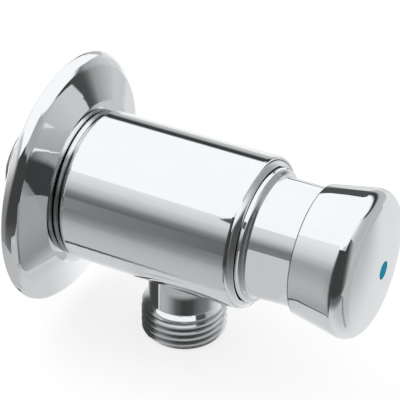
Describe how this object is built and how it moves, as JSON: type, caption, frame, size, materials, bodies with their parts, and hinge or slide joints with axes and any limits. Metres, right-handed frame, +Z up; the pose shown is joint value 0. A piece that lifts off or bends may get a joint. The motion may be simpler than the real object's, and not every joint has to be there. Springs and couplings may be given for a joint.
{
  "type": "push timed tap",
  "caption": "Chromed wall-mounted self-closing tap: push button slides over a neck, timed by a dashpot, with a threaded wall inlet, bell flange and threaded outlet pointing down.",
  "frame": {"origin": "on the tap's axis, at the wall plane that the flange's back edge lies in", "axes": "+Y along the axis into the wall, so the button faces -Y and is pushed along +Y; +Z up, with the outlet pointing to -Z"},
  "size_m": [0.0622, 0.0952, 0.0653],
  "materials": {
    "chrome": "polished chrome plate on brass",
    "threaded_chrome": "chrome plate over a cut thread",
    "brass": "turned, unplated",
    "steel": "stainless, fine turned",
    "rubber": "moulded, matt",
    "white_plastic": "moulded acetal",
    "fibre": "pressed fibre",
    "blue_plastic": "moulded, glossy"
  },
  "bodies": {
    "valve": {"valve_body": "chrome", "wall_flange": "chrome", "flange_oring": "rubber", "inlet_nipple": "threaded_chrome", "inlet_seal": "fibre", "inlet_strainer": "steel", "outlet_nipple": "threaded_chrome", "outlet_oring": "rubber", "bonnet": "chrome", "bonnet_oring": "rubber", "cap_guide_ring": "white_plastic", "gland_nut": "brass", "stem_bush": "brass", "stem_oring": "rubber", "dashpot_sleeve": "white_plastic", "valve_seat": "brass", "seat_oring": "rubber", "return_spring": "steel"},
    "button": {"push_stem": "steel", "piston": "white_plastic", "piston_seal": "rubber", "seal_retainer": "steel", "stem_clip": "steel", "washer_cup": "brass", "seat_washer": "rubber", "washer_screw": "steel", "button_cap": "chrome", "cap_screw": "steel", "index_dot": "blue_plastic"}
  },
  "joints": [
    {"name": "button_push", "type": "slide", "parent": "valve", "child": "button", "axis": [0, 1, 0], "range_m": [0, 0.008], "stiffness_N_per_m": 900, "springref_m": -0.012, "deforming": ["return_spring"]}
  ]
}
